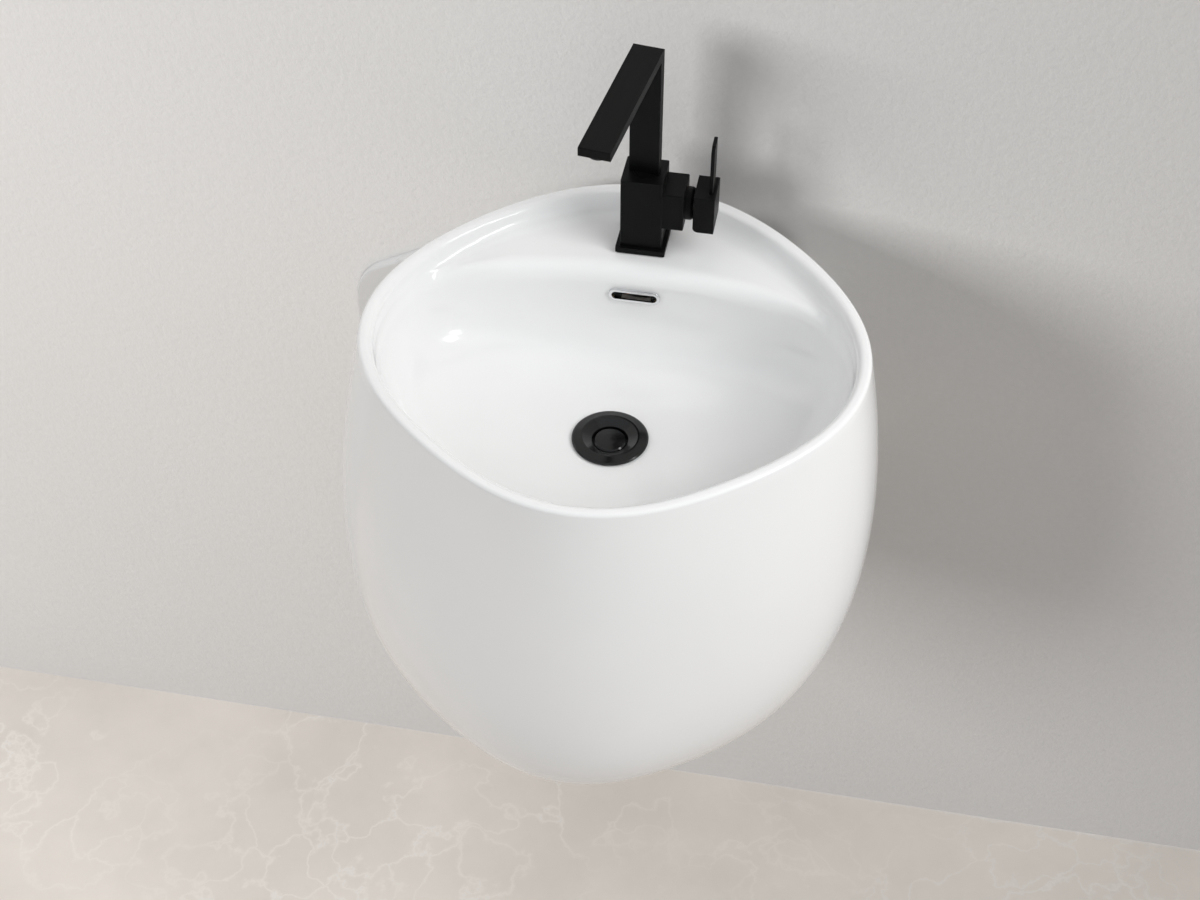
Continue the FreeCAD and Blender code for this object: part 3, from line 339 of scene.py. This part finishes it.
# rows of points on each stretch of the section, and on the bodies that cut the shroud
steps = {"bottom": 52, "side": 46, "rounding": 11, "upstand": 7, "turn": 9, "deck": 13, "bowl": 64,
         "under": 30, "shell": 34, "bowlTool": 26, "shellTool": 30}
phi = np.linspace(0, 2 * math.pi, basin["around"], endpoint=False)     # 0 is the front
cosPhi, sinPhi = np.cos(phi), np.sin(phi)
seat = basin["top"] - basin["depth"]
rimRadius = (basin["mean"] - basin["forward"] * cosPhi - basin["oval"] * np.cos(2 * phi)
             + basin["corner"] * np.cos(4 * phi))
# how far the upstand leans in from the rim to the deck, most of all straight behind the tap
backRim = basin["mean"] + basin["forward"] - basin["oval"] + basin["corner"]
leanMost = basin["deckBack"] - basin["drainReach"] + backRim - basin["rimWall"]
backLean = leanMost * np.maximum(-cosPhi, 0) ** 3


def ringAt(radius, height, lean=0.0):
    # points of one level: radius and height may differ from column to column
    height = np.broadcast_to(height, phi.shape)
    return np.stack([radius * sinPhi, -basin["drainReach"] - lean - radius * cosPhi, height], axis=-1)


def eggRing(t, inset=0.0):
    # radius = outline x (1 + swell t (1 - t)) x (1 - t^n)^(1/n), leaning forward as it goes down
    n = basin["power"]
    swell = (1 + basin["swell"] * t * (1 - t)) * np.maximum(1 - t ** n, 0) ** (1 / n)
    radius = (rimRadius - basin["lowOval"] * t * np.cos(2 * phi)) * swell - inset
    return ringAt(radius, basin["top"] - basin["height"] * t, basin["lean"] * t + basin["tuck"] * t * t)


def bowlScale(z):
    # share of the rim's inner radius, part of the way down: (1 - draft x part) x (1 - part^4)^(1/bowlRound)
    part = np.clip((basin["top"] - z) / basin["depth"], 0, 1)
    return (1 - basin["draft"] * part) * (1 - part ** 4) ** (1 / basin["bowlRound"])


def bowlRadius(z):
    # the smaller of the side wall and the bowed wall under the deck, blended as a power mean
    part = np.clip((z - seat) / (basin["deck"] - seat), 0, 1)
    reach = basin["drainReach"] - basin["deckReach"] - basin["deckFoot"] * (1 - part) ** 4
    bow = basin["deckCurve"] * sinPhi ** 2
    back = 2 * reach / np.maximum(-cosPhi + np.sqrt(cosPhi ** 2 + 4 * bow * reach), 1e-3)
    side = (rimRadius - basin["rimWall"]) * bowlScale(z)
    n = basin["meanPower"]
    return (np.maximum(side, basin["least"]) ** -n + np.maximum(back, basin["least"]) ** -n) ** (-1 / n)


def recessRadius(z):
    # wall above the deck: the rim's inner outline, leaning in behind the tap
    part = np.clip((z - basin["deck"]) / (basin["top"] - basin["deck"]), 0, 1)
    return (rimRadius - basin["rimWall"]) * bowlScale(z) - backLean * (1 - part)


def underRadius(z):
    # outside of the bowl: its radius and the wall
    return bowlRadius(z) + basin["wall"]


def underDrop(z):
    # how far the underside lies lower: wall x (1 - part^underBend), all of the wall at the floor
    part = np.clip((z - seat) / (basin["deck"] - seat) / basin["underTurn"], 0, 1)
    return basin["wall"] * (1 - part ** basin["underBend"])


def bowlHeights(high, count):
    # heights from the bowl floor up to high, closest together at the floor
    return seat + (high - seat) * np.linspace(0, 1, count) ** 1.6


def outsideRows():
    # the outside from the bottom up, then an arc of rimRound onto the top of the rim
    b, r = basin, basin["rimRound"]
    slope = (b["swell"] * rimRadius - b["lowOval"] * np.cos(2 * phi) + b["lean"] * cosPhi) / b["height"]
    tilt = np.arctan(slope)
    tangent = r * np.tan(math.pi / 4 - tilt / 2)
    start = tangent * np.cos(tilt) / b["height"]
    turn = np.linspace(math.asin(b["sideEnd"] ** (b["power"] / 2)), math.pi / 2, steps["bottom"])[:-1]
    side = np.linspace(0, b["sideEnd"], steps["side"])[:-1]
    share = np.concatenate([side, np.sin(turn) ** (2 / b["power"])])
    rows = [eggRing(start + (1 - start) * t) for t in share[::-1]]
    for part in np.linspace(0, 1, steps["rounding"])[1:]:
        angle = tilt + (math.pi / 2 - tilt) * part
        rows.append(ringAt(rimRadius - tangent + r * np.cos(angle), b["top"] - r + r * np.sin(angle)))
    return rows


def innerRimRows():
    # an arc of lipRound from the top of the rim inward, then the upstand down to its foot
    b, r = basin, basin["lipRound"]
    inner = rimRadius - b["rimWall"]
    tilt = np.arctan(b["draft"] * inner / b["depth"] + backLean / (b["top"] - b["deck"]))
    tangent = r * np.tan(math.pi / 4 - tilt / 2)
    rows = []
    for part in np.linspace(0, 1, steps["rounding"]):
        angle = math.pi / 2 + (math.pi / 2 - tilt) * part
        rows.append(ringAt(inner + tangent + r * np.cos(angle), b["top"] - r + r * np.sin(angle)))
    top = b["top"] - r + r * np.sin(tilt)
    foot = b["deck"] + b["deckRise"] + b["footRound"]
    for share in np.linspace(0, 1, steps["upstand"])[1:]:
        z = top + (foot - top) * share
        rows.append(ringAt(recessRadius(z), z))
    return rows


def deckRows():
    # the hollow foot of the upstand, the deck, and its front edge as a quarter of an ellipse
    b = basin
    low = b["deck"] + b["deckRise"]
    foot = low + b["footRound"]
    gap = recessRadius(low) - bowlRadius(b["deck"])
    hollow, bend = np.clip(gap * 0.35, 0, b["footRound"]), np.clip(gap * 0.4, 0, b["edgeRound"])
    path = []
    for angle in np.linspace(0, math.pi / 2, steps["turn"])[1:]:
        z = low + b["footRound"] * (1 - math.sin(angle))
        path.append((recessRadius(z) - hollow * (1 - math.cos(angle)), z))
    outer, edge = recessRadius(low) - hollow, bowlRadius(b["deck"]) + bend
    for share in np.linspace(0, 1, steps["deck"])[1:]:
        path.append((outer + (edge - outer) * share, b["deck"] + b["deckRise"] * (1 - share) ** 3))
    for angle in np.linspace(0, math.pi / 2, steps["turn"])[1:]:
        z = b["deck"] - b["edgeRound"] * (1 - math.cos(angle))
        path.append((bowlRadius(z) + bend * (1 - math.sin(angle)), z))
    # where the deck narrows to nothing the same rows spread evenly down a plain wall
    wide = np.clip(gap / b["deckFade"], 0, 1)
    wide = wide * wide * (3 - 2 * wide)
    rows = []
    for share, (radius, z) in zip(np.linspace(0, 1, len(path) + 1)[1:], path):
        even = foot + (b["deck"] - b["edgeRound"] - foot) * share
        lower = share * share * (3 - 2 * share)
        above, below = recessRadius(np.maximum(even, low)), bowlRadius(np.minimum(even, b["deck"]))
        plain = above * (1 - lower) + below * lower
        rows.append(ringAt(plain + (radius - plain) * wide, even + (z - even) * wide))
    return rows


def bowlRows():
    # the bowl below the deck's edge: z = top - depth x sqrt(sin angle), closest together at the floor
    b = basin
    first = ((b["top"] - b["deck"] + b["edgeRound"]) / b["depth"]) ** 2
    turn = np.linspace(math.asin(first), math.pi / 2, steps["bowl"])[1:]
    heights = b["top"] - b["depth"] * np.sqrt(np.sin(turn))
    return [ringAt(bowlRadius(z), z) for z in heights]


def hollowRows():
    # down the drain hole, up the boss, out along the bowl's underside and down inside the shell
    b, even = basin, np.ones_like(phi)
    hole, boss, low, cut = b["drainHole"], b["boss"], b["bossLow"], b["chamfer"]
    drain = ((hole + cut, seat), (hole, seat - cut), (hole, low + cut), (hole + cut, low),
             (boss - cut, low), (boss, low + cut), (boss, seat - b["wall"] - cut))
    rows = [ringAt(even * radius, z) for radius, z in drain]
    for z in bowlHeights(b["deckUnder"], steps["under"]):
        rows.append(ringAt(np.maximum(underRadius(z), boss + 1), z - underDrop(z)))
    begin = (b["top"] - b["deckUnder"]) / b["height"]
    shell = [eggRing(t, b["wall"]) for t in np.linspace(begin, b["shellEnd"], steps["shell"])]
    reach = np.hypot(shell[0][:, 0], shell[0][:, 1] + b["drainReach"])
    rows.append(ringAt(np.maximum(reach, underRadius(b["deckUnder"]) + 0.5), b["deckUnder"]))
    return rows + shell[1:]


def centreAt(t):
    # middle of the egg's level at share t of its height
    b = basin
    return 0, -b["drainReach"] - b["lean"] * t - b["tuck"] * t * t, b["top"] - b["height"] * t


# shroud between the egg and the wall; web is the front of the panel that bears on the plate, access the
# opening in it; the shroud ends inside the walls of bowl and shell, and the pipe space leaves them a skin
shroud = {"half": 126.0, "front": -173.0, "back": -10.0, "foot": -165.0, "top": 62.0, "round": 30.0,
          "wall": 11.0, "web": -24.0, "clearFront": -163.0, "accessHalf": 104.0, "accessFoot": -185.0,
          "accessTop": -36.0, "inBowl": 5.5, "inBowlTop": 90.0, "inShell": 0.6, "skin": 10.4, "skinTop": 84.0}
# the slot is wide and high, level with its middle; the passage behind it is half wide to each side, runs
# down to low and then forward to lowEnd; hair keeps the cut faces from lying on each other
overflow = {"level": 56.7, "wide": 41.4, "high": 9.4, "slotFront": -145.0, "slotSteps": 10, "half": 13.0,
            "front": -109.0, "back": -101.0, "low": -31.0, "deep": 8.0, "lowFront": -207.0, "lowEnd": -223.0,
            "wall": 5.0, "wallFront": -125.0, "wallTop": 80.0, "floorSkin": 2.2, "hair": 0.01}
holes = {"around": 64, "tap": 17.5, "tapPlace": -71.0, "tapLow": 60.0, "tapHigh": 90.0,
         "bolt": 8.05, "boltPlaces": (-100.0, 100.0), "boltDeep": -30.0}


def bowlBody(name, grow, high):
    # the bowl with a wall of grow around it
    rows = [ringAt(bowlRadius(z) + grow, z - grow * underDrop(z) / basin["wall"])
            for z in bowlHeights(high, steps["bowlTool"])]
    reach = basin["drainReach"]
    return levels(name, np.stack(rows), (0, -reach, seat - grow), (0, -reach, high))


def addShroud(body):
    # rounded arch from the wall into the egg, without what reaches into the bowl or the hollow shell
    s, start, end = shroud, basin["shellStart"], basin["shellEnd"]
    corners = [(-s["half"], s["foot"]), (s["half"], s["foot"]), (s["half"], s["top"]), (-s["half"], s["top"])]
    outline = roundedOutline(corners, [0, 0, s["round"], s["round"]])
    arch = prism("arch", outline, s["front"], s["back"], "y")
    carve(arch, bowlBody("middle", s["inBowl"], s["inBowlTop"]))
    inset = basin["wall"] - s["inShell"]
    shell = np.stack([eggRing(t, inset) for t in np.linspace(start, end, steps["shellTool"])])
    carve(arch, levels("hollow", shell[::-1], centreAt(end), centreAt(start)))
    carve(body, arch, "UNION")


def clearPipeSpace(body):
    # space behind the bowl for the pipes, open below and to the wall, less the wall of the passage
    s, o = shroud, overflow
    side = s["half"] - s["wall"]
    clear = slab("clear", (-side, s["clearFront"], s["foot"] - 1.0), (side, s["web"], s["top"] - s["wall"]))
    carve(clear, slab("gate", (-s["accessHalf"], s["clearFront"], s["accessFoot"]),
                      (s["accessHalf"], 1.0, s["accessTop"])), "UNION")
    carve(clear, bowlBody("thick", s["skin"], s["skinTop"]))
    wide = o["half"] + o["wall"]
    carve(clear, slab("channelWall", (-wide, o["wallFront"], o["low"] - o["wall"]),
                      (wide, o["back"] + o["wall"], o["wallTop"])))
    carve(body, clear)


def cutOverflow(body):
    # the slot, the channel down behind the bowl and the passage forward below its floor into the drain
    o, half, hair = overflow, overflow["half"], overflow["hair"]
    wide = half + o["wall"]
    carve(body, slab("passageWall", (-wide, o["lowFront"], o["low"] - o["wall"]),
                     (wide, o["back"] + o["wall"] - 0.1, seat - o["floorSkin"])), "UNION")
    carve(body, slab("passage", (-half + hair, o["lowEnd"], o["low"] + hair),
                     (half - hair, o["back"] - hair, o["low"] + o["deep"])))
    carve(body, slab("channel", (-half, o["front"], o["low"]),
                     (half, o["back"], o["level"] + o["high"] / 2 + 2)))
    tall, reach = o["high"] / 2, o["wide"] / 2
    corners = [(-reach, -tall), (reach, -tall), (reach, tall), (-reach, tall)]
    slot = roundedOutline(corners, [tall - hair] * 4, o["slotSteps"]) + (0, o["level"])
    carve(body, prism("slot", slot, o["slotFront"], o["front"] + 1, "y"))


def cutHoles(body):
    # the tap's hole through the deck and the two bolt holes in the panel at the wall
    turn = np.linspace(0, 2 * math.pi, holes["around"], endpoint=False)
    circle = np.stack([np.cos(turn), np.sin(turn)], axis=-1)
    tap = circle * holes["tap"] + (0, holes["tapPlace"])
    carve(body, prism("tapHole", tap, holes["tapLow"], holes["tapHigh"], "z"))
    for x in holes["boltPlaces"]:
        carve(body, prism("boltHole", circle * holes["bolt"] + (x, 0.0), holes["boltDeep"], 0.0, "y"))


def makeBasin():
    rows = np.stack(outsideRows() + innerRimRows() + deckRows() + bowlRows() + hollowRows())
    body = levels("basinCeramic", rows, centreAt(1.0), centreAt(basin["shellEnd"]))
    addShroud(body)
    clearPipeSpace(body)
    cutOverflow(body)
    cutHoles(body)
    mesh = body.data
    smoothed(mesh, 32)
    mesh.materials.clear()
    mesh.materials.append(finishes["glaze"])
    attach(body, "basin")
    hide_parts("basin_body")
    print("basin made:", len(mesh.polygons), "faces")


makeBasin()

# room: the wall that the basin hangs on and the floor below it, seen from one side only
room = {"wall": (0.625, 0.612, 0.597), "floor": (0.71, 0.658, 0.604), "vein": (0.86, 0.83, 0.79),
        "floorLevel": -0.80, "wallPlace": 0.0006, "half": 4.0, "front": -5.0, "height": 3.0}


def oneSided(look, shader, near):
    # clear from behind, and to light that starts nearer than near, so that what touches it is lit too
    path = look.node("ShaderNodeLightPath", out="Ray Length")
    behind = look.node("ShaderNodeNewGeometry", out="Backfacing")
    gone = behind.math("MAXIMUM", behind, path < near)
    clear = look.node("ShaderNodeBsdfTransparent")
    return look.done(look.node("ShaderNodeMixShader", None, {0: gone, 1: shader, 2: clear}))


def plaster():
    # painted plaster: broad clouds and a fine grit
    look = Look("wallPlaster")
    cloud = look.ramp(look.noise(2.2, 5, 0.6), 0.3, 0.7)
    tone = look.blend(cloud, room["wall"], tuple(c * 1.03 for c in room["wall"]))
    grit = look.noise(150, 4, 0.6)
    tone = look.blend(look.ramp(grit, 0.3, 0.7) * 0.5, tone, tuple(c * 0.96 for c in room["wall"]))
    shader = look.principled({"Base Color": tone, "Roughness": 0.85, "Normal": look.bump(grit, 0.0015, 0.5)})
    return oneSided(look, shader, 0.004)


def paleStone():
    # pale stone: clouds of tone and thin veins along the borders of bent cells
    look = Look("floorStone")
    warp = look.noise(3.0, 6, 0.62)
    cloud = look.ramp(warp, 0.3, 0.7)
    bent = look.node("ShaderNodeVectorMath", {"operation": "ADD"}, {0: look.place(), 1: look.node(
        "ShaderNodeTexNoise", None, {"Vector": look.place(), "Scale": 5.0, "Detail": 6.0}, "Color")})
    vein = look.node("ShaderNodeTexVoronoi", {"feature": "DISTANCE_TO_EDGE"}, {"Vector": bent, "Scale": 5.0})
    thin = (1.0 - look.ramp(vein, 0.0, 0.07)) ** 2.0 * look.ramp(look.noise(4.0, 3), 0.35, 0.7)
    dark, light = (tuple(c * share for c in room["floor"]) for share in (0.95, 1.15))
    tone = look.blend(cloud, dark, light)
    tone = look.blend(thin * 0.55, tone, room["vein"])
    shader = look.principled({"Base Color": tone, "Roughness": 0.35 + cloud * 0.1, "Coat Weight": 0.1})
    return oneSided(look, shader, 0.0001)


def sheetOf(name, corners, material):
    # one flat face of the room
    sheet = newPiece(name, corners, [(0, 1, 2, 3)])
    sheet.data.materials.append(material)
    return sheet


half, front, back = room["half"], room["front"], room["wallPlace"]
low, high = room["floorLevel"], room["height"]
wallCorners = [(-half, back, low), (half, back, low), (half, back, high), (-half, back, high)]
floorCorners = [(-half, front, low), (half, front, low), (half, back, low), (-half, back, low)]
sheets = [sheetOf("wall", wallCorners, plaster()), sheetOf("floor", floorCorners, paleStone())]

# soft light: the fixture is lit from the upper right, the wall and floor from the left, as in the
# photograph, whose shadows fall to the right of the basin
lamps = [
    {"name": "fixtureSoft", "place": (2.1, -0.9, 1.9), "size": 2.2, "power": 47.0,
     "sheets": "EXCLUDE", "mirrored": False},
    {"name": "leftFill", "place": (-2.2, -1.0, 1.5), "size": 1.8, "power": 11.0,
     "sheets": "EXCLUDE", "mirrored": False},
    {"name": "windowHigh", "place": (1.06, -0.31, 0.90), "size": 0.26, "power": 1.6,
     "sheets": "EXCLUDE", "mirrored": True},
    {"name": "windowLow", "place": (1.10, -0.62, 0.76), "size": 0.22, "power": 1.1,
     "sheets": "EXCLUDE", "mirrored": True},
    {"name": "wallSoft", "place": (-1.9, -2.2, 1.1), "size": 1.1, "power": 61.0,
     "sheets": "INCLUDE", "mirrored": False},
]
aim = Vector((0, -0.2, -0.03))                                # about the middle of the basin
for lamp in lamps:
    light = bpy.data.lights.new(lamp["name"], "AREA")
    light.shape, light.size, light.energy = "SQUARE", lamp["size"], lamp["power"]
    holder = bpy.data.objects.new(lamp["name"], light)
    bpy.context.scene.collection.objects.link(holder)
    holder.location = lamp["place"]
    holder.rotation_euler = (Vector(lamp["place"]) - aim).to_track_quat("Z", "Y").to_euler()
    linked = bpy.data.collections.new(lamp["name"] + "Linked")
    for sheet in sheets:
        linked.objects.link(sheet)
    for entry in linked.collection_objects:
        entry.light_linking.link_state = lamp["sheets"]
    holder.light_linking.receiver_collection = linked
    holder.visible_glossy = lamp["mirrored"]

# the sky is brighter overhead than at the level of the basin
sky = {"colour": (0.95, 0.97, 1.0, 1), "low": -0.2, "high": 0.9, "dim": 0.27, "bright": 0.68}
dome = Look("room", "worlds")
upward = dome.node("ShaderNodeSeparateXYZ", None, {0: dome.node("ShaderNodeTexCoord", out="Generated")}, "Z")
strength = dome.node("ShaderNodeMapRange", None, {
    "Value": upward, "From Min": sky["low"], "From Max": sky["high"],
    "To Min": sky["dim"], "To Max": sky["bright"]})
glow = dome.node("ShaderNodeBackground", None, {"Color": sky["colour"], "Strength": strength})
bpy.context.scene.world = dome.done(glow, "ShaderNodeOutputWorld")
print("room and light made")
